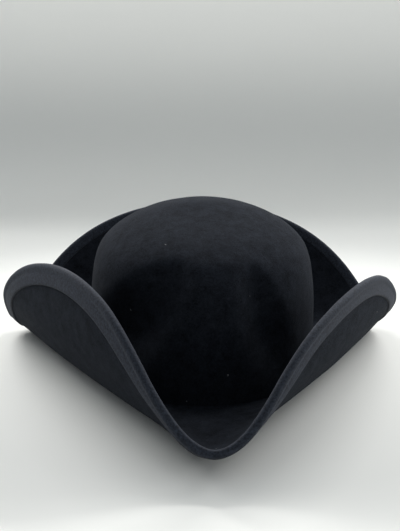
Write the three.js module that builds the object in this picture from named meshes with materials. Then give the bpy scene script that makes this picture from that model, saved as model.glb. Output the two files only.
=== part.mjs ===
import * as THREE from 'three';

// A cocked felt hat: one blocked felt body and the ribbon that binds its edge.
// Millimetres, +Z up, front corner toward -Y. The hat is drawn round the middle of its crown, then placed
// with the origin on the table under the middle of its outline.

// ---------- driving dimensions ----------
const HEAD_HALF_WIDTH = 89.5;    // half of the oval where the brim leaves the crown, side to side
const HEAD_HALF_DEPTH = 105.5;   // the same, front to back
const FELT = 2.6;                // thickness of the felt
const BRIM_WIDTH = 99.5;         // flat width of the brim, crown to edge
const CROWN_INSET = 3.6;         // how far the crown wall stands inside the oval
const FOOT_ROUNDING = 0.7;       // how far the corner between crown and brim is rounded in
const FOOT_FADE = 55;            // height over which the crown wall takes up the bend of the brim

// crown: one row for each level of the wall; width, front and back are shares of the oval at its foot
const CROWN_LEVELS = [
  { height: 3.6, width: 1, front: 1, back: 1 },
  { height: 24, width: 1, front: 0.999, back: 0.995 },
  { height: 43, width: 1, front: 0.997, back: 0.985 },
  { height: 60, width: 0.995, front: 0.99, back: 0.965 },
  { height: 76, width: 0.975, front: 0.98, back: 0.93 },
  { height: 88, width: 0.943, front: 0.96, back: 0.889 },
  { height: 97, width: 0.895, front: 0.905, back: 0.832 },
  { height: 105, width: 0.81, front: 0.775, back: 0.763 },
  { height: 112, width: 0.7, front: 0.605, back: 0.675 },
  { height: 118, width: 0.57, front: 0.415, back: 0.56 },
  { height: 123, width: 0.405, front: 0.24, back: 0.41 },
  { height: 127, width: 0.175, front: 0.1, back: 0.18 },
];
const CROWN_TOP = 128;

// pinches in the crown: turn from the front, how wide each is on the side toward the front ridge and on
// the other, in degrees, how many degrees its middle moves away from the ridge 50 mm further down, and how
// far it pushes the wall in
const PINCHES = [
  { name: 'left', turn: -20, near: 15, far: 19, slant: 20, depth: 13.5 },
  { name: 'right', turn: 23, near: 11, far: 9, slant: 8, depth: 9 },
];
const PINCH_HEIGHT = 90;         // height at which a pinch has the turn given
const PINCH_FOOT = 62;           // height by which a pinch has its full depth
const PINCH_EDGE = 7;            // sharpness of the fold along its top

// flaps: direction each one faces, distance of its fold from the middle of the hat, bow of the fold at
// its ends, and the slope of the felt 20, 40, 60, 80 and 100 mm past the fold
const FLAPS = [
  { name: 'left', facing: -59, fold: 79, bow: -2, at20: 31, at40: 60, at60: 67, at80: 88, at100: 98 },
  { name: 'right', facing: 58, fold: 80, bow: -3, at20: 33, at40: 50, at60: 62, at80: 84, at100: 80 },
  { name: 'back', facing: 179, fold: 84, bow: -10, at20: 51, at40: 63, at60: 72, at80: 74, at100: 74 },
];
const SLOPE_STEP = 20;

// corners and the slopes between them: where each points, how wide an angle it takes, extra brim width
// and rise of the felt at its edge
const CORNERS = [
  { name: 'front', facing: 0, spread: 22, extra: 0, rise: -14 },
  { name: 'left_slope', facing: -18, spread: 15, extra: -4, rise: 0 },
  { name: 'left', facing: -119, spread: 28, extra: -12, rise: 0 },
  { name: 'right_slope', facing: 42, spread: 22, extra: -5, rise: 0 },
  { name: 'right', facing: 106, spread: 37, extra: -16, rise: 0 },
];
const SPOUT_START = 40;          // distance from the crown at which a spout begins to rise
const SPOUT_POWER = 2;

// edge binding
const BINDING_WIDTH = 14;        // how far the ribbon reaches in from the edge under the brim
const BINDING_WIDTH_OVER = 7;    // the same on the face that looks up
const BINDING_THICKNESS = 1;
const FOLD_ROUNDNESS = 0.7;      // share of the ribbon's thickness kept at the corners of its turned edge
const CLEARANCE = 0.4;           // gap between ribbon and felt

// ---------- mesh density ----------
const SPOKES = 78;
const CORNER_CROWDING = 0.12;    // draws the spokes toward the three corners
const BRIM_RINGS = [0, 6, 14, 24, 36, 50, 62, 74];
const BINDING_ROWS = [BINDING_WIDTH, BINDING_WIDTH_OVER, 0];

const STEP_OUT = 0.5;            // small steps used to find normals: millimetres out, radians round
const STEP_ROUND = 0.004;

const radians = THREE.MathUtils.degToRad;

// ---------- the head oval ----------
function ovalPoint(turn, inset) {
  return new THREE.Vector2(
    (HEAD_HALF_WIDTH - inset) * Math.sin(turn),
    -(HEAD_HALF_DEPTH - inset) * Math.cos(turn),
  );
}

function ovalOutward(turn) {
  const outward = new THREE.Vector2(Math.sin(turn) / HEAD_HALF_WIDTH, -Math.cos(turn) / HEAD_HALF_DEPTH);
  return outward.normalize();
}

// degrees from facing round to turn
function apart(turn, facing) {
  return THREE.MathUtils.euclideanModulo(THREE.MathUtils.radToDeg(turn) - facing + 180, 360) - 180;
}

function bell(turn, facing, spread) {
  return Math.exp(-((apart(turn, facing) / spread) ** 2));
}

// ---------- the rolled profile of one flap, worked out in 1 mm steps ----------
function rollProfile(flap) {
  const slopes = [0, flap.at20, flap.at40, flap.at60, flap.at80, flap.at100, flap.at100].map(radians);
  const run = [0];
  const lift = [0];
  for (let step = 0; step < (slopes.length - 1) * SLOPE_STEP; step += 1) {
    const place = (step + 0.5) / SLOPE_STEP;
    const row = Math.floor(place);
    const slope = THREE.MathUtils.lerp(slopes[row], slopes[row + 1], place - row);
    run.push(run[step] + Math.cos(slope));
    lift.push(lift[step] + Math.sin(slope));
  }
  return { run, lift };
}

function readProfile(list, past) {
  const row = Math.min(Math.floor(past), list.length - 2);
  return THREE.MathUtils.lerp(list[row], list[row + 1], past - row);
}

const folds = FLAPS.map((flap) => ({
  ...flap,
  toward: new THREE.Vector2(Math.sin(radians(flap.facing)), -Math.cos(radians(flap.facing))),
  profile: rollProfile(flap),
}));

// ---------- the middle surface of the brim ----------
// out is the distance from the crown measured along the felt
function brimPoint(turn, out) {
  let width = 1;
  for (const corner of CORNERS) {
    width += (corner.extra / BRIM_WIDTH) * bell(turn, corner.facing, corner.spread);
  }
  const flat = ovalPoint(turn, 0).addScaledVector(ovalOutward(turn), out * width);
  const point = new THREE.Vector3(flat.x, flat.y, FELT / 2);
  for (const fold of folds) {
    const across = flat.dot(fold.toward);
    const along = flat.cross(fold.toward) / 100;
    const past = across - fold.fold - fold.bow * along * along;
    if (past > 0) {
      const pulled = readProfile(fold.profile.run, past) - past;
      point.x += pulled * fold.toward.x;
      point.y += pulled * fold.toward.y;
      point.z += readProfile(fold.profile.lift, past);
    }
  }
  const spout = Math.max(0, (out - SPOUT_START) / (BRIM_WIDTH - SPOUT_START)) ** SPOUT_POWER;
  for (const corner of CORNERS) {
    point.z += corner.rise * spout * bell(turn, corner.facing, corner.spread);
  }
  return point;
}

// upward normal of the brim
function brimNormal(turn, out) {
  const outward = brimPoint(turn, out + STEP_OUT).sub(brimPoint(turn, out - STEP_OUT));
  const around = brimPoint(turn + STEP_ROUND, out).sub(brimPoint(turn - STEP_ROUND, out));
  return around.cross(outward).normalize().negate();
}

// ---------- the middle surface of the crown ----------
function pinchDepth(turn, height) {
  let total = 0;
  for (const pinch of PINCHES) {
    const slant = (pinch.slant * (PINCH_HEIGHT - height)) / 50;
    const away = Math.sign(pinch.turn) * apart(turn, pinch.turn) - slant;
    total += pinch.depth * Math.exp(-((away / (away > 0 ? pinch.far : pinch.near)) ** 2));
  }
  return total * THREE.MathUtils.smoothstep(height, 0, PINCH_FOOT);
}

function crownPoint(turn, level) {
  const lift = (brimPoint(turn, 0).z - FELT / 2) * Math.max(0, 1 - level.height / FOOT_FADE);
  const full = ovalPoint(turn, CROWN_INSET);
  const depth = full.y < 0 ? level.front : level.back;
  const wall = new THREE.Vector2(full.x * level.width, full.y * depth);
  const outward = ovalOutward(turn);
  const inset = Math.max(0.001, full.sub(wall).dot(outward));
  const pushed = (inset ** PINCH_EDGE + pinchDepth(turn, level.height) ** PINCH_EDGE) ** (1 / PINCH_EDGE);
  wall.addScaledVector(outward, inset - pushed);
  return new THREE.Vector3(wall.x, wall.y, level.height + lift);
}

// ---------- rings of the felt body ----------
const turns = Array.from({ length: SPOKES }, (_, spoke) => {
  const even = (2 * Math.PI * spoke) / SPOKES;
  return even - CORNER_CROWDING * Math.sin(3 * even);
});

function crownNormal(turn, index) {
  const level = CROWN_LEVELS[index];
  const around = crownPoint(turn + STEP_ROUND, level).sub(crownPoint(turn - STEP_ROUND, level));
  const lower = crownPoint(turn, CROWN_LEVELS[Math.max(index - 1, 0)]);
  const upper = index < CROWN_LEVELS.length - 1
    ? crownPoint(turn, CROWN_LEVELS[index + 1])
    : new THREE.Vector3(0, 0, CROWN_TOP);
  return around.cross(upper.sub(lower)).normalize();
}

// the small curve between the crown wall and the brim
function footRow(turn) {
  const outward = ovalOutward(turn);
  const inward = new THREE.Vector3(-outward.x, -outward.y, -1);
  const point = crownPoint(turn, CROWN_LEVELS[0]).lerp(brimPoint(turn, 0), 0.5);
  point.addScaledVector(inward, FOOT_ROUNDING);
  return { point, normal: inward.normalize().negate() };
}

// each row gives the middle surface and its outward or upward normal, from the crown down to the edge
const crownRows = CROWN_LEVELS.map((level, index) => (turn) => ({
  point: crownPoint(turn, level),
  normal: crownNormal(turn, index),
}));
const brimOuts = [...BRIM_RINGS, ...BINDING_ROWS.map((inward) => BRIM_WIDTH - inward)];
const brimRows = brimOuts.map((out) => (turn) => ({
  point: brimPoint(turn, out),
  normal: brimNormal(turn, out),
}));
const feltRows = [...crownRows.reverse(), footRow, ...brimRows];

function ring(row, offset) {
  return turns.map((turn) => {
    const { point, normal } = row(turn);
    return point.addScaledVector(normal, offset);
  });
}

// ---------- closed geometry from rings ----------
// rings run round the hat; start and end are single closing points, or null where the rings close on
// themselves
function closedGeometry(rings, start, end) {
  const count = rings[0].length;
  const points = rings.flat();
  const faces = [];
  const loops = start ? rings.length - 1 : rings.length;
  for (let loop = 0; loop < loops; loop += 1) {
    const next = (loop + 1) % rings.length;
    for (let spoke = 0; spoke < count; spoke += 1) {
      const beside = (spoke + 1) % count;
      const a = loop * count + spoke;
      const b = loop * count + beside;
      const c = next * count + beside;
      const d = next * count + spoke;
      if (points[a].distanceTo(points[c]) < points[b].distanceTo(points[d])) {
        faces.push(a, d, c, a, c, b);
      } else {
        faces.push(a, d, b, b, d, c);
      }
    }
  }
  if (start) {
    const first = points.push(start) - 1;
    const last = points.push(end) - 1;
    const lowest = (rings.length - 1) * count;
    for (let spoke = 0; spoke < count; spoke += 1) {
      const beside = (spoke + 1) % count;
      faces.push(first, spoke, beside);
      faces.push(last, lowest + beside, lowest + spoke);
    }
  }
  const geometry = new THREE.BufferGeometry().setFromPoints(points);
  geometry.setIndex(faces);
  geometry.computeVertexNormals();
  return geometry;
}

function feltBody() {
  const outside = feltRows.map((row) => ring(row, FELT / 2));
  const inside = feltRows.map((row) => ring(row, -FELT / 2)).reverse();
  const top = new THREE.Vector3(0, 0, CROWN_TOP + FELT / 2);
  const underTop = new THREE.Vector3(0, 0, CROWN_TOP - FELT / 2);
  return closedGeometry([...outside, ...inside], top, underTop);
}

// the ribbon's section: distance in from the edge of the felt (negative is past it) and height off
// the middle of the felt
function bindingSection() {
  const inner = FELT / 2 + CLEARANCE;
  const outer = inner + BINDING_THICKNESS;
  const corner = -(CLEARANCE + BINDING_THICKNESS * FOLD_ROUNDNESS);
  const turned = [
    { inward: corner, off: outer * FOLD_ROUNDNESS },
    { inward: -(CLEARANCE + BINDING_THICKNESS), off: 0 },
    { inward: corner, off: -outer * FOLD_ROUNDNESS },
  ];
  const over = BINDING_ROWS.slice(1);
  return [
    ...over.map((inward) => ({ inward, off: outer })),
    ...turned,
    ...BINDING_ROWS.map((inward) => ({ inward, off: -outer })).reverse(),
    ...BINDING_ROWS.map((inward) => ({ inward, off: -inner })),
    { inward: -CLEARANCE, off: -inner },
    { inward: -CLEARANCE, off: inner },
    ...over.map((inward) => ({ inward, off: inner })).reverse(),
  ];
}

function edgeBinding() {
  const rings = bindingSection().map(({ inward, off }) => turns.map((turn) => {
    const out = BRIM_WIDTH - inward;
    return brimPoint(turn, out).addScaledVector(brimNormal(turn, out), off);
  }));
  return closedGeometry(rings, null, null);
}

// ---------- finish ----------
const felt = new THREE.MeshStandardMaterial({ color: 0x141519, roughness: 0.95, metalness: 0 });
const ribbon = new THREE.MeshStandardMaterial({ color: 0x1d1e23, roughness: 0.7, metalness: 0 });

function piece(name, geometry, material) {
  const mesh = new THREE.Mesh(geometry, material);
  mesh.name = name;
  return mesh;
}

const hat = new THREE.Group();
hat.add(piece('felt_body', feltBody(), felt));
hat.add(piece('edge_binding', edgeBinding(), ribbon));

const middle = new THREE.Box3().setFromObject(hat).getCenter(new THREE.Vector3());
hat.position.set(-middle.x, -middle.y, 0);

export default hat;
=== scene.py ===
import math

import bmesh
import bpy
from mathutils import Matrix, Vector, noise


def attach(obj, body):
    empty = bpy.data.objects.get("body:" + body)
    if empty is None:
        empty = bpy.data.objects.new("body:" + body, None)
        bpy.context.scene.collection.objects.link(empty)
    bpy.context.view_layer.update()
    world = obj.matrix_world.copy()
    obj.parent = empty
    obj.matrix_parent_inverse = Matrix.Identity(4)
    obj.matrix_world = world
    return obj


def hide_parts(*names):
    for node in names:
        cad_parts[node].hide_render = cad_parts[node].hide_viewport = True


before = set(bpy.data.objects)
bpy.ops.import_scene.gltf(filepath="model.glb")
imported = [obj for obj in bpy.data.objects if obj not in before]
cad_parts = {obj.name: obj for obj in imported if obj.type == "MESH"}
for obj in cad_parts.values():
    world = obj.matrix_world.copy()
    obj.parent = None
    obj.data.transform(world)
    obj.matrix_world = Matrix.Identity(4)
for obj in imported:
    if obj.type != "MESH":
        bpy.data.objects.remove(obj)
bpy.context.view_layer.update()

bl_info = {
    "name": "Cocked felt hat",
    "version": (1, 0, 0),
    "blender": (4, 5, 0),
    "location": "3D View > Sidebar > Hat",
    "description": "Blocked felt hat with its brim rolled up on three sides and its edge bound with ribbon",
    "category": "Object",
}

# The hat is worked out in millimetres round the middle of its crown, +Z up, front corner toward -Y.
# Blender's own unit is the metre, and the origin is on the table under the middle of the outline.
MM = 0.001
CROWN_PLACE = Vector((1.2, 30.66, 0))

# ---------- shape tables ----------
HEAD_HALF_WIDTH = 89.5     # half of the oval where the brim leaves the crown, side to side
HEAD_HALF_DEPTH = 105.5    # the same, front to back
CROWN_INSET = 3.6          # how far the crown wall stands inside the oval
FOOT_FADE = 55             # height over which the crown wall takes up the bend of the brim
LAST_SHARE = 0.99999       # keeps the top of the crown inside the last stretch of its curve
LEAST_INSET = 0.001        # keeps the inset of an upright wall above 0, where its power is taken

# crown wall from its foot to its top: width, front and back are shares of the oval
CROWN_LEVELS = [
    {"height": 3.6, "width": 1, "front": 1, "back": 1},
    {"height": 24, "width": 1, "front": 0.999, "back": 0.995},
    {"height": 43, "width": 1, "front": 0.997, "back": 0.985},
    {"height": 60, "width": 0.995, "front": 0.99, "back": 0.965},
    {"height": 76, "width": 0.975, "front": 0.98, "back": 0.93},
    {"height": 88, "width": 0.943, "front": 0.96, "back": 0.889},
    {"height": 97, "width": 0.895, "front": 0.905, "back": 0.832},
    {"height": 105, "width": 0.81, "front": 0.775, "back": 0.763},
    {"height": 112, "width": 0.7, "front": 0.605, "back": 0.675},
    {"height": 118, "width": 0.57, "front": 0.415, "back": 0.56},
    {"height": 123, "width": 0.405, "front": 0.24, "back": 0.41},
    {"height": 127, "width": 0.175, "front": 0.1, "back": 0.18},
    {"height": 128, "width": 0, "front": 0, "back": 0},
]

# pinches in the crown: turn of the middle, width on the side toward the front ridge and on the far side
# and slant, which is how far the middle moves away from the ridge SLANT_STEP further down, all in degrees,
# and how far each pushes the wall in
PINCHES = [
    {"name": "left", "turn": -20, "near": 15, "far": 19, "slant": 20, "depth": 13.5},
    {"name": "right", "turn": 23, "near": 11, "far": 9, "slant": 8, "depth": 9},
]
PINCH_HEIGHT = 90          # height at which a pinch has the turn given
SLANT_STEP = 50
PINCH_FOOT = 62            # height by which a pinch has its full depth
PINCH_EDGE = 7             # sharpness of the fold along its top

# flaps: facing is the way each looks in degrees, fold its distance from the middle, bow how far the fold
# bends away toward its ends, and at20 to at100 the slope of the felt in degrees that far past the fold
FLAPS = [
    {"name": "left", "facing": -59, "fold": 79, "bow": -2,
     "at20": 31, "at40": 60, "at60": 67, "at80": 88, "at100": 98},
    {"name": "right", "facing": 58, "fold": 80, "bow": -3,
     "at20": 33, "at40": 50, "at60": 62, "at80": 84, "at100": 80},
    {"name": "back", "facing": 179, "fold": 84, "bow": -10,
     "at20": 51, "at40": 63, "at60": 72, "at80": 74, "at100": 74},
]
SLOPE_STEP = 20            # distance between two of the slopes

# corners and the slopes between them: where each points, how wide an angle it takes, extra brim width
# and rise of the felt at its edge
CORNERS = [
    {"name": "front", "facing": 0, "spread": 22, "extra": 0, "rise": -14},
    {"name": "left_slope", "facing": -18, "spread": 15, "extra": -4, "rise": 0},
    {"name": "left", "facing": -119, "spread": 28, "extra": -12, "rise": 0},
    {"name": "right_slope", "facing": 42, "spread": 22, "extra": -5, "rise": 0},
    {"name": "right", "facing": 106, "spread": 37, "extra": -16, "rise": 0},
]
SPOUT_START = 40           # distance from the crown at which a spout begins to rise
SPOUT_POWER = 2
BOW_REACH = 100            # distance along a fold from its middle at which its bow is as given

# fine creases pressed into the brim at the foot of the crown: turn and spread in degrees, distance from
# the crown, how far each reaches from its own line, and height
CREASES = [
    {"name": "near", "turn": 24, "spread": 13, "out": 5, "reach": 1.8, "height": 0.8},
    {"name": "middle", "turn": 21, "spread": 10, "out": 12, "reach": 2.2, "height": 0.7},
    {"name": "far", "turn": 15, "spread": 9, "out": 21, "reach": 2.5, "height": 0.5},
]

# ribbon section: distance in from the edge along the felt, and height off the felt's middle. The inner
# face goes from its selvage to the turned edge, the outer face from the turned edge to its selvage
RIBBON_INNER = [
    {"inward": 7.0, "off": 1.6},
    {"inward": 6.6, "off": 2.1},
    {"inward": 5.8, "off": 2.4},
    {"inward": 4.2, "off": 2.35},
    {"inward": 2.4, "off": 2.6},
    {"inward": 0.8, "off": 2.7},
    {"inward": -0.5, "off": 2.3},
    {"inward": -1.3, "off": 1.3},
]
RIBBON_OUTER = [
    {"inward": -1.3, "off": 1.3},
    {"inward": -0.5, "off": 2.3},
    {"inward": 0.8, "off": 2.75},
    {"inward": 2.3, "off": 2.8},
    {"inward": 3.5, "off": 2.3},
    {"inward": 4.7, "off": 2.25},
    {"inward": 6.3, "off": 2.55},
    {"inward": 8.8, "off": 2.6},
    {"inward": 11.2, "off": 2.45},
    {"inward": 12.7, "off": 2.65},
    {"inward": 13.6, "off": 2.3},
    {"inward": 14.0, "off": 1.6},
]
TURNED_EDGE = -1.6         # how far past the felt the ribbon's fold reaches

# lights round the hat: height above the table and turn from straight behind it, in degrees, distance and
# size in metres, the cone that its grid lets through in degrees, power in watts and colour
LIGHTS = [
    {"name": "far_left", "height": 34, "turn": -24, "away": 2.8, "size": (1.3, 0.08), "cone": 60,
     "watts": 3.3, "colour": "#ffffff"},
    {"name": "far_right", "height": 36, "turn": 28, "away": 2.8, "size": (0.9, 0.08), "cone": 60,
     "watts": 3.0, "colour": "#ffffff"},
    {"name": "back_left", "height": 38, "turn": -42, "away": 0.65, "size": (0.3, 0.15), "cone": 110,
     "watts": 0.62, "colour": "#ffffff"},
    {"name": "back_right", "height": 34, "turn": 56, "away": 0.65, "size": (0.3, 0.15), "cone": 110,
     "watts": 0.68, "colour": "#ffffff"},
    {"name": "left", "height": 40, "turn": -62, "away": 1.8, "size": (0.6, 0.4), "cone": 80,
     "watts": 0.5, "colour": "#ffffff"},
    {"name": "right", "height": 22, "turn": 90, "away": 1.5, "size": (0.6, 0.4), "cone": 120,
     "watts": 1.4, "colour": "#ffffff"},
]
LIT_POINT = Vector((0, -0.1, 0))
# strips over the hat that light only the backdrop and the far edge of the table
WASHES = [
    {"name": "wash_high", "aim": (0, 1.08, 0.5), "size": (2.4, 0.15), "cone": 36, "watts": 1.45,
     "colour": "#ffffff"},
    {"name": "wash_low", "aim": (0, 0.74, 0.02), "size": (2.4, 0.1), "cone": 26, "watts": 0.32,
     "colour": "#ffffff"},
]
WASH_PLACE = Vector((0, 0.4, 1.3))
ROOM_COLOUR = "#dae1e7"
ROOM_STRENGTH = 0.43

# mesh density
SPOKES = 300
CORNER_CROWDING = 0.12     # draws the spokes toward the three corners
CROWN_ROWS = 56
FOOT_ROWS = 6
BRIM_ROWS = 44
STEP_OUT = 0.5             # small steps used to find normals: millimetres out, radians round
STEP_ROUND = 0.004
SEAM_WELD = 0.01           # how near the ends of the ribbon loop lie when they are welded

# unevenness of the felt: wavelengths of its slow and its quick part, share and shift of the quick part,
# and the height below which it dies away, so that the hat sits flat
SLOW_WANDER = 46
QUICK_WANDER = 13
QUICK_SHARE = 0.25
QUICK_SHIFT = Vector((7, 3, 5))
WANDER_FADE = 15

# table and backdrop in metres: half the width, where they begin and end, height and the bend between them
TABLE_HALF_WIDTH = 2.2
TABLE_NEAR = -1.6
TABLE_FAR = 1.1
BACKDROP_HEIGHT = 0.6
BACKDROP_BEND = 0.5
BEND_STEPS = 12

# a phone camera a little over half a metre in front of the hat, looking slightly down on it: it circles a
# point above the crown's middle, and then points away from that by its own pitch and swing
CAMERA = {"distance": 0.6355, "elevation": 16.5, "heading": 2.32, "pitch": 14.17, "swing": 0.17}
CAMERA_TARGET_HEIGHT = 0.05
SENSOR_WIDTH = 36
LENS_LENGTH = 54.24
NEAREST_SEEN = 0.02
FARTHEST_SEEN = 20


def linear(hex_colour):
    """sRGB hex to the linear colour a shader takes."""
    parts = [int(hex_colour[i:i + 2], 16) / 255 for i in (1, 3, 5)]
    return tuple(c / 12.92 if c <= 0.04045 else ((c + 0.055) / 1.055) ** 2.4 for c in parts)


# ---------- settings that a user would change ----------
class HatSizes(bpy.types.PropertyGroup):
    felt: bpy.props.FloatProperty(
        name="Felt", description="Thickness of the felt", default=2.6 * MM, min=1 * MM, max=5 * MM,
        subtype="DISTANCE", unit="LENGTH", precision=4)
    brim: bpy.props.FloatProperty(
        name="Brim", description="Flat width of the brim, from crown to edge", default=99.5 * MM,
        subtype="DISTANCE", unit="LENGTH", precision=4)
    ribbon: bpy.props.FloatProperty(
        name="Ribbon", description="Thickness of the ribbon round the edge", default=0.7 * MM,
        subtype="DISTANCE", unit="LENGTH", precision=4)
    unevenness: bpy.props.FloatProperty(
        name="Unevenness", description="How far the felt wanders from its block", default=0.35 * MM,
        subtype="DISTANCE", unit="LENGTH", precision=5)


class HatColours(bpy.types.PropertyGroup):
    felt: bpy.props.FloatVectorProperty(
        name="Felt", description="Black dye of the wool felt", subtype="COLOR", min=0, max=1,
        default=linear("#1e2127"))
    ribbon: bpy.props.FloatVectorProperty(
        name="Ribbon", description="Black dye of the ribbon", subtype="COLOR", min=0, max=1,
        default=linear("#282c34"))
    table: bpy.props.FloatVectorProperty(
        name="Table", description="Pale table and backdrop", subtype="COLOR", min=0, max=1,
        default=linear("#eeeee9"))


# ---------- the head oval ----------
def oval_point(turn, inset):
    return Vector((
        (HEAD_HALF_WIDTH - inset) * math.sin(turn),
        -(HEAD_HALF_DEPTH - inset) * math.cos(turn),
    ))


def oval_outward(turn):
    return Vector((math.sin(turn) / HEAD_HALF_WIDTH, -math.cos(turn) / HEAD_HALF_DEPTH)).normalized()


def apart(turn, facing):
    """Degrees from facing round to turn."""
    return (math.degrees(turn) - facing + 180) % 360 - 180


def bell(turn, facing, spread):
    return math.exp(-((apart(turn, facing) / spread) ** 2))


# ---------- the brim ----------
def roll_profile(flap):
    """Run and lift of the felt past a fold, in steps of 1 mm."""
    slopes = [0, *(flap[f"at{d}"] for d in (20, 40, 60, 80, 100)), flap["at100"]]
    run, lift = [0.0], [0.0]
    for step in range((len(slopes) - 1) * SLOPE_STEP):
        row, share = divmod((step + 0.5) / SLOPE_STEP, 1)
        slope = math.radians(slopes[int(row)] * (1 - share) + slopes[int(row) + 1] * share)
        run.append(run[-1] + math.cos(slope))
        lift.append(lift[-1] + math.sin(slope))
    return run, lift


def read_profile(profile, past):
    row = min(int(past), len(profile) - 2)
    share = past - row
    return profile[row] * (1 - share) + profile[row + 1] * share


def fold_of(flap):
    """A flap's row with the direction it looks in and the roll of its felt worked out."""
    facing = math.radians(flap["facing"])
    run, lift = roll_profile(flap)
    return {**flap, "toward": Vector((math.sin(facing), -math.cos(facing))), "run": run, "lift": lift}


FOLDS = [fold_of(flap) for flap in FLAPS]


def brim_point(turn, out, sizes):
    """Middle of the felt, out millimetres from the crown."""
    brim = sizes.brim / MM
    width = 1.0
    for corner in CORNERS:
        width += corner["extra"] / brim * bell(turn, corner["facing"], corner["spread"])
    flat = oval_point(turn, 0) + oval_outward(turn) * out * width
    point = Vector((flat.x, flat.y, sizes.felt / MM / 2))
    for fold in FOLDS:
        toward = fold["toward"]
        along = (flat.x * toward.y - flat.y * toward.x) / BOW_REACH
        past = flat.dot(toward) - fold["fold"] - fold["bow"] * along * along
        if past > 0:
            pulled = read_profile(fold["run"], past) - past
            point.x += pulled * toward.x
            point.y += pulled * toward.y
            point.z += read_profile(fold["lift"], past)
    spout = max(0.0, (out - SPOUT_START) / (brim - SPOUT_START)) ** SPOUT_POWER
    for corner in CORNERS:
        point.z += corner["rise"] * spout * bell(turn, corner["facing"], corner["spread"])
    for crease in CREASES:
        near = math.exp(-(((out - crease["out"]) / crease["reach"]) ** 2))
        point.z += crease["height"] * near * bell(turn, crease["turn"], crease["spread"])
    return point


def brim_normal(turn, out, sizes):
    """Upward normal of the brim."""
    outward = brim_point(turn, out + STEP_OUT, sizes) - brim_point(turn, out - STEP_OUT, sizes)
    around = brim_point(turn + STEP_ROUND, out, sizes) - brim_point(turn - STEP_ROUND, out, sizes)
    return outward.cross(around).normalized()


# ---------- the crown ----------
def crown_level(share):
    """Height, width, front and back of the crown wall, on a smooth curve through the rows of its table:
    share runs from 0 at its foot to 1 at its top."""
    rows = [Vector((r["height"], r["width"], r["front"], r["back"])) for r in CROWN_LEVELS]
    mirrored = -rows[-2]
    mirrored[0] = rows[-2][0]
    rows = [rows[0] * 2 - rows[1], *rows, mirrored]
    place = min(share, LAST_SHARE) * (len(CROWN_LEVELS) - 1)
    row = int(place)
    t = place - row
    a, b, c, d = rows[row:row + 4]
    slope = c - a
    square = 2 * a - 5 * b + 4 * c - d
    cube = 3 * b - a - 3 * c + d
    return 0.5 * (2 * b + slope * t + square * t * t + cube * t ** 3)


def pinch_depth(turn, height):
    grown = min(1.0, height / PINCH_FOOT)
    total = 0.0
    for pinch in PINCHES:
        side = 1 if pinch["turn"] > 0 else -1
        away = side * apart(turn, pinch["turn"]) - pinch["slant"] * (PINCH_HEIGHT - height) / SLANT_STEP
        total += pinch["depth"] * math.exp(-((away / (pinch["far"] if away > 0 else pinch["near"])) ** 2))
    return total * grown * grown * (3 - 2 * grown)


def crown_point(turn, share, sizes):
    height, width, front, back = crown_level(share)
    foot = brim_point(turn, -CROWN_INSET, sizes).z - sizes.felt / MM / 2
    full = oval_point(turn, CROWN_INSET)
    wall = Vector((full.x * width, full.y * (front if full.y < 0 else back)))
    outward = oval_outward(turn)
    inset = max(LEAST_INSET, (full - wall).dot(outward))
    pushed = (inset ** PINCH_EDGE + pinch_depth(turn, height) ** PINCH_EDGE) ** (1 / PINCH_EDGE)
    wall -= outward * (pushed - inset)
    return Vector((wall.x, wall.y, height + foot * max(0.0, 1 - height / FOOT_FADE)))


def foot_point(turn, share, sizes):
    """The small curve from the crown wall, share 0, down to the brim, share 1."""
    wall = crown_point(turn, 0, sizes)
    corner = brim_point(turn, -CROWN_INSET, sizes)
    brim = brim_point(turn, CROWN_INSET / 2, sizes)
    return wall * (1 - share) ** 2 + corner * 2 * share * (1 - share) + brim * share ** 2


def wander(point, amount):
    """Soft unevenness of felt that was shaped by hand."""
    slow = noise.noise(point / SLOW_WANDER)
    quick = noise.noise(point / QUICK_WANDER + QUICK_SHIFT)
    return (slow + QUICK_SHARE * quick) * amount * min(1.0, max(0.0, point.z / WANDER_FADE))


# ---------- bmesh helpers ----------
def spoke_turns():
    even = [2 * math.pi * spoke / SPOKES for spoke in range(SPOKES)]
    return [turn - CORNER_CROWDING * math.sin(3 * turn) for turn in even]


def extrude_along(bm, verts, closed, places):
    """Extrudes a ring or chain of vertices, moves the copies to places, and returns them in order."""
    pairs = list(zip(verts, verts[1:] + verts[:1] if closed else verts[1:]))
    edges = [bm.edges.get(pair) for pair in pairs]
    made = bmesh.ops.extrude_edge_only(bm, edges=edges)["geom"]
    copies = {v for v in made if isinstance(v, bmesh.types.BMVert)}
    ordered = []
    for vert, place in zip(verts, places):
        copy = next(e.other_vert(vert) for e in vert.link_edges if e.other_vert(vert) in copies)
        copy.co = place
        ordered.append(copy)
    return ordered


def finish_piece(name, bm, node, material):
    mesh = bpy.data.meshes.new(name)
    bm.to_mesh(mesh)
    bm.free()
    mesh.shade_smooth()
    mesh.materials.append(material)
    piece = bpy.data.objects.new(name, mesh)
    bpy.context.scene.collection.objects.link(piece)
    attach(piece, "root")
    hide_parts(node)
    return piece


# ---------- materials ----------
BAND_LENGTH = 0.314        # length of one band of a wave texture at scale 1


def add_node(tree, kind, links=None, **settings):
    """Adds a node. Links go to its sockets, inputs are the values of its other sockets, and any other
    setting is a property of the node."""
    node = tree.nodes.new(kind)
    inputs = settings.pop("inputs", {})
    for key, value in settings.items():
        setattr(node, key, value)
    for key, value in inputs.items():
        node.inputs[key].default_value = value
    for key, source in (links or {}).items():
        tree.links.new(source, node.inputs[key])
    return node


def new_material(name):
    material = bpy.data.materials.new(name)
    material.use_nodes = True
    material.node_tree.nodes.clear()
    return material, material.node_tree


def shade(colour, factor):
    """The colour with its brightness changed and its alpha added."""
    return (colour[0] * factor, colour[1] * factor, colour[2] * factor, 1)


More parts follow.
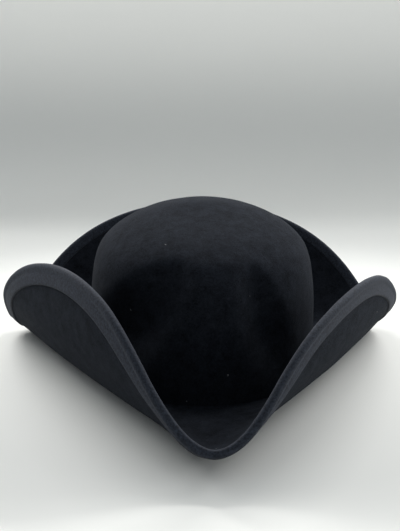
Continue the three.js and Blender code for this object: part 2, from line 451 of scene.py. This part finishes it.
def wool_felt(colours):
    """Wool felt, blocked over a form and dyed black: a dense mat of short fibres, quite without gloss,
    with a few flecks of pale lint caught in its nap."""
    material, tree = new_material("blocked_wool_felt")
    coords = add_node(tree, "ShaderNodeTexCoord").outputs["Object"]
    # matted fibre: real clumps are about 0.5 mm apart, drawn at 2 mm so that they show at this size
    fibre = add_node(tree, "ShaderNodeTexNoise", {"Vector": coords},
                     inputs={"Scale": 1 / (2 * MM), "Detail": 5, "Roughness": 0.75, "Distortion": 1.5})
    # cloudy take-up of the dye, over about 9 mm
    cloud = add_node(tree, "ShaderNodeTexNoise", {"Vector": coords},
                     inputs={"Scale": 1 / (9 * MM), "Detail": 3, "Roughness": 0.6})
    mixed = add_node(tree, "ShaderNodeMix", {"A": fibre.outputs[0], "B": cloud.outputs[0]},
                     inputs={"Factor": 0.35})
    nap = add_node(tree, "ShaderNodeValToRGB", {"Fac": mixed.outputs[0]})
    nap.color_ramp.elements[0].position = 0.36
    nap.color_ramp.elements[0].color = shade(colours.felt, 0.42)
    nap.color_ramp.elements[1].position = 0.64
    nap.color_ramp.elements[1].color = shade(colours.felt, 1.62)
    # lint: one place in every 17 mm might hold a fleck, and one in five does
    bent = add_node(tree, "ShaderNodeTexNoise", {"Vector": coords}, inputs={"Scale": 1 / (3 * MM)})
    strayed = add_node(tree, "ShaderNodeVectorMath", {0: bent.outputs[1], 2: coords},
                       operation="MULTIPLY_ADD", inputs={1: (4 * MM, 4 * MM, 4 * MM)})
    flecks = add_node(tree, "ShaderNodeTexVoronoi", {"Vector": strayed.outputs[0]},
                      inputs={"Scale": 1 / (17 * MM)})
    close = add_node(tree, "ShaderNodeMath", {0: flecks.outputs["Distance"]}, operation="LESS_THAN",
                     inputs={1: 0.04})
    chosen = add_node(tree, "ShaderNodeMath", {0: flecks.outputs["Color"]}, operation="GREATER_THAN",
                      inputs={1: 0.62})
    lint = add_node(tree, "ShaderNodeMath", {0: close.outputs[0], 1: chosen.outputs[0]},
                    operation="MULTIPLY")
    colour = add_node(tree, "ShaderNodeMixRGB", {"Fac": lint.outputs[0], "Color1": nap.outputs[0]},
                      inputs={"Color2": (*linear("#707072"), 1)})
    bump = add_node(tree, "ShaderNodeBump", {"Height": fibre.outputs[0]},
                    inputs={"Strength": 0.6, "Distance": 0.4 * MM})
    shader = add_node(tree, "ShaderNodeBsdfPrincipled",
                      {"Base Color": colour.outputs[0], "Normal": bump.outputs[0]},
                      inputs={"Roughness": 0.95, "IOR": 1.5, "Specular IOR Level": 0.05,
                              "Sheen Weight": 0.015, "Sheen Roughness": 0.6,
                              "Sheen Tint": (*linear("#e5f1ff"), 1)})
    add_node(tree, "ShaderNodeOutputMaterial", {"Surface": shader.outputs[0]})
    return material


def woven_ribbon(colours):
    """Woven ribbon: a close plain weave, dyed black, a little smoother and lighter than the felt, with
    specks of dust and lint, and painted shade on the faces that look down."""
    material, tree = new_material("woven_edge_ribbon")
    uv = add_node(tree, "ShaderNodeUVMap", uv_map="ribbon").outputs[0]
    # ribs of the weave run across the ribbon, one every 0.5 mm along it, drawn one every 1.5 mm and low
    ribs = add_node(tree, "ShaderNodeTexWave", {"Vector": uv}, wave_type="BANDS", bands_direction="X",
                    inputs={"Scale": BAND_LENGTH / (1.5 * MM), "Distortion": 1.2, "Detail": 2})
    coords = add_node(tree, "ShaderNodeTexCoord").outputs["Object"]
    # specks of dust and lint, about 1.6 mm apart
    dust = add_node(tree, "ShaderNodeTexNoise", {"Vector": coords},
                    inputs={"Scale": 1 / (1.6 * MM), "Detail": 5, "Roughness": 0.8})
    ramp = add_node(tree, "ShaderNodeValToRGB", {"Fac": dust.outputs[0]})
    ramp.color_ramp.elements[0].position = 0.36
    ramp.color_ramp.elements[0].color = shade(colours.ribbon, 0.45)
    ramp.color_ramp.elements[1].position = 0.64
    ramp.color_ramp.elements[1].color = shade(colours.ribbon, 1.8)
    # painted shade: the colour darkens to 0.3 where the ribbon looks down, and stays where it looks up or
    # out
    facing = add_node(tree, "ShaderNodeSeparateXYZ",
                      {0: add_node(tree, "ShaderNodeNewGeometry").outputs["Normal"]})
    painted_under_shade = add_node(tree, "ShaderNodeMapRange", {"Value": facing.outputs["Z"]},
                     inputs={"From Min": -0.95, "From Max": -0.3, "To Min": 0.3, "To Max": 1})
    colour = add_node(tree, "ShaderNodeMixRGB", {"Color1": ramp.outputs[0], "Color2": painted_under_shade.outputs[0]},
                      blend_type="MULTIPLY", inputs={"Fac": 1})
    bump = add_node(tree, "ShaderNodeBump", {"Height": ribs.outputs[0]},
                    inputs={"Strength": 0.12, "Distance": 0.12 * MM})
    shader = add_node(tree, "ShaderNodeBsdfPrincipled",
                      {"Base Color": colour.outputs[0], "Normal": bump.outputs[0]},
                      inputs={"Roughness": 0.8, "IOR": 1.5, "Specular IOR Level": 0.15,
                              "Sheen Weight": 0.04, "Sheen Roughness": 0.5,
                              "Sheen Tint": (*linear("#edefff"), 1)})
    add_node(tree, "ShaderNodeOutputMaterial", {"Surface": shader.outputs[0]})
    return material


def pale_table(colours):
    """Matt laminate table that sweeps up into a plain backdrop."""
    material, tree = new_material("pale_matt_table")
    shader = add_node(tree, "ShaderNodeBsdfPrincipled",
                      inputs={"Base Color": (*colours.table, 1), "Roughness": 0.85})
    add_node(tree, "ShaderNodeOutputMaterial", {"Surface": shader.outputs[0]})
    return material


# ---------- operators ----------
class HAT_OT_felt_body(bpy.types.Operator):
    """Blocks the crown and the rolled brim as one shell of felt"""
    bl_idname = "hat.felt_body"
    bl_label = "Felt body"

    def execute(self, context):
        sizes = context.scene.hat_sizes
        turns = spoke_turns()
        brim = sizes.brim / MM
        amount = sizes.unevenness / MM
        rows = []
        for row in range(CROWN_ROWS):
            share = 1 - (row + 1) / CROWN_ROWS
            rows.append([crown_point(turn, share, sizes) for turn in turns])
        for row in range(1, FOOT_ROWS):
            rows.append([foot_point(turn, row / FOOT_ROWS, sizes) for turn in turns])
        start = CROWN_INSET / 2
        for row in range(BRIM_ROWS + 1):
            out = start + (brim - start) * row / BRIM_ROWS
            rows.append([brim_point(turn, out, sizes) for turn in turns])

        bm = bmesh.new()
        first = bmesh.ops.create_circle(
            bm, cap_ends=True, cap_tris=True, segments=SPOKES, radius=1)["verts"]
        hub = max(first, key=lambda v: len(v.link_edges))
        hub.co = Vector((0, 0, CROWN_LEVELS[-1]["height"]))
        ring = [v for v in first if v is not hub]
        for vert, place in zip(ring, rows[0]):
            vert.co = place
        for places in rows[1:]:
            ring = extrude_along(bm, ring, True, places)
        bmesh.ops.recalc_face_normals(bm, faces=bm.faces)
        bm.normal_update()
        if hub.normal.z < 0:
            bmesh.ops.reverse_faces(bm, faces=bm.faces)
            bm.normal_update()
        shifts = [(v, v.normal * wander(v.co, amount)) for v in bm.verts]
        for vert, shift in shifts:
            vert.co = (vert.co + shift + CROWN_PLACE) * MM
        piece = finish_piece("blocked_felt", bm, "felt_body", wool_felt(context.scene.hat_colours))
        wall = piece.modifiers.new("thickness", "SOLIDIFY")
        wall.thickness = sizes.felt
        wall.offset = 0
        return {"FINISHED"}


class HAT_OT_edge_ribbon(bpy.types.Operator):
    """Folds the ribbon over the whole edge of the brim"""
    bl_idname = "hat.edge_ribbon"
    bl_label = "Edge ribbon"

    def execute(self, context):
        sizes = context.scene.hat_sizes
        turns = spoke_turns()
        brim = sizes.brim / MM
        amount = sizes.unevenness / MM
        half = sizes.ribbon / MM / 2
        section = [(row["inward"], row["off"] - half) for row in RIBBON_INNER]
        section.append((TURNED_EDGE + half, 0.0))
        section += [(row["inward"], half - row["off"]) for row in RIBBON_OUTER]

        def column(turn):
            places = []
            for inward, off in section:
                out = brim - inward
                normal = brim_normal(turn, out, sizes)
                middle = brim_point(turn, out, sizes)
                places.append(middle + normal * (off + wander(middle, amount)))
            return places

        columns = [column(turn) for turn in turns]
        columns.append(columns[0])
        bm = bmesh.new()
        uv = bm.loops.layers.uv.new("ribbon")
        verts = [bm.verts.new(place) for place in columns[0]]
        for a, b in zip(verts, verts[1:]):
            bm.edges.new((a, b))
        across = [0.0]
        for a, b in zip(columns[0], columns[0][1:]):
            across.append(across[-1] + (b - a).length)
        along = 0.0
        middle = len(section) // 2
        for before, places in zip(columns, columns[1:]):
            further = along + (places[middle] - before[middle]).length
            known = set(bm.faces)
            nexts = extrude_along(bm, verts, False, places)
            where = {v: (along, a) for v, a in zip(verts, across)}
            where.update({v: (further, a) for v, a in zip(nexts, across)})
            for vert in nexts:
                for face in vert.link_faces:
                    for loop in face.loops:
                        loop[uv].uv = Vector(where[loop.vert]) * MM
            verts, along = nexts, further
        bmesh.ops.remove_doubles(bm, verts=bm.verts, dist=SEAM_WELD)
        bmesh.ops.recalc_face_normals(bm, faces=bm.faces)
        bmesh.ops.transform(bm, verts=bm.verts, matrix=place_matrix())
        piece = finish_piece("edge_ribbon", bm, "edge_binding",
                             woven_ribbon(context.scene.hat_colours))
        wall = piece.modifiers.new("thickness", "SOLIDIFY")
        wall.thickness = sizes.ribbon
        wall.offset = 0
        return {"FINISHED"}


def place_matrix():
    """From millimetres round the crown's middle to metres in the row frame."""
    return Matrix.Scale(MM, 4) @ Matrix.Translation(CROWN_PLACE)


def add_light(row, place, aim):
    light = bpy.data.lights.new(row["name"], "AREA")
    light.shape = "RECTANGLE"
    light.size, light.size_y = row["size"]
    light.spread = math.radians(row["cone"])
    light.energy = row["watts"]
    light.color = linear(row["colour"])
    lamp = bpy.data.objects.new(row["name"], light)
    lamp.location = place
    lamp.rotation_euler = (place - aim).to_track_quat("Z", "Y").to_euler()
    bpy.context.scene.collection.objects.link(lamp)


class HAT_OT_stage(bpy.types.Operator):
    """Sets the pale table with its backdrop, the soft lights and the camera"""
    bl_idname = "hat.stage"
    bl_label = "Stage"

    def execute(self, context):
        scene = context.scene
        # table and backdrop: one sheet that sweeps up behind the hat
        bm = bmesh.new()
        bend = BACKDROP_BEND
        flat_end = TABLE_FAR - bend
        profile = [(TABLE_NEAR, 0.0), (flat_end, 0.0)]
        for step in range(1, BEND_STEPS):
            angle = math.radians(90 * step / BEND_STEPS)
            profile.append((flat_end + bend * math.sin(angle), bend - bend * math.cos(angle)))
        profile += [(TABLE_FAR, bend), (TABLE_FAR, BACKDROP_HEIGHT)]
        verts = [bm.verts.new((-TABLE_HALF_WIDTH, y, z)) for y, z in profile]
        for a, b in zip(verts, verts[1:]):
            bm.edges.new((a, b))
        extrude_along(bm, verts, False, [Vector((TABLE_HALF_WIDTH, y, z)) for y, z in profile])
        bmesh.ops.recalc_face_normals(bm, faces=bm.faces)
        bm.normal_update()
        bm.faces.ensure_lookup_table()
        if bm.faces[0].normal.z < 0:
            bmesh.ops.reverse_faces(bm, faces=bm.faces)
        mesh = bpy.data.meshes.new("table")
        bm.to_mesh(mesh)
        bm.free()
        mesh.shade_smooth()
        mesh.materials.append(pale_table(scene.hat_colours))
        table = bpy.data.objects.new("table", mesh)
        scene.collection.objects.link(table)

        for row in LIGHTS:
            height, turn = math.radians(row["height"]), math.radians(row["turn"])
            toward = Vector((
                math.cos(height) * math.sin(turn),
                math.cos(height) * math.cos(turn),
                math.sin(height),
            ))
            add_light(row, LIT_POINT + toward * row["away"], LIT_POINT)
        for row in WASHES:
            add_light(row, WASH_PLACE, Vector(row["aim"]))

        world = bpy.data.worlds.new("soft_room")
        world.use_nodes = True
        background = world.node_tree.nodes["Background"]
        background.inputs["Color"].default_value = (*linear(ROOM_COLOUR), 1)
        background.inputs["Strength"].default_value = ROOM_STRENGTH
        scene.world = world
        scene.view_settings.view_transform = "Standard"

        elevation, heading = math.radians(CAMERA["elevation"]), math.radians(CAMERA["heading"])
        level = CAMERA["distance"] * math.cos(elevation)
        lens = bpy.data.cameras.new("camera")
        lens.sensor_width = SENSOR_WIDTH
        lens.lens = LENS_LENGTH
        lens.clip_start = NEAREST_SEEN
        lens.clip_end = FARTHEST_SEEN
        camera = bpy.data.objects.new("camera", lens)
        camera.location = (
            CROWN_PLACE.x * MM - level * math.sin(heading),
            CROWN_PLACE.y * MM - level * math.cos(heading),
            CAMERA_TARGET_HEIGHT + CAMERA["distance"] * math.sin(elevation),
        )
        camera.rotation_euler = (
            math.radians(90 - CAMERA["pitch"]),
            0,
            math.radians(CAMERA["swing"]) - heading,
        )
        scene.collection.objects.link(camera)
        scene.camera = camera
        return {"FINISHED"}


class HAT_PT_panel(bpy.types.Panel):
    """Lists the hat's settings and the operators that make it"""
    bl_label = "Cocked felt hat"
    bl_idname = "HAT_PT_panel"
    bl_space_type = "VIEW_3D"
    bl_region_type = "UI"
    bl_category = "Hat"

    def draw(self, context):
        for settings in (context.scene.hat_sizes, context.scene.hat_colours):
            for name in settings.__annotations__:
                self.layout.prop(settings, name)
        for operator in OPERATORS:
            self.layout.operator(operator.bl_idname)


OPERATORS = (HAT_OT_felt_body, HAT_OT_edge_ribbon, HAT_OT_stage)
CLASSES = (HatSizes, HatColours, *OPERATORS, HAT_PT_panel)


def register():
    for cls in CLASSES:
        bpy.utils.register_class(cls)
    bpy.types.Scene.hat_sizes = bpy.props.PointerProperty(type=HatSizes)
    bpy.types.Scene.hat_colours = bpy.props.PointerProperty(type=HatColours)


def unregister():
    del bpy.types.Scene.hat_colours
    del bpy.types.Scene.hat_sizes
    for cls in reversed(CLASSES):
        bpy.utils.unregister_class(cls)


def main():
    register()
    bpy.ops.hat.felt_body()
    bpy.ops.hat.edge_ribbon()
    bpy.ops.hat.stage()


if __name__ == "__main__":
    main()
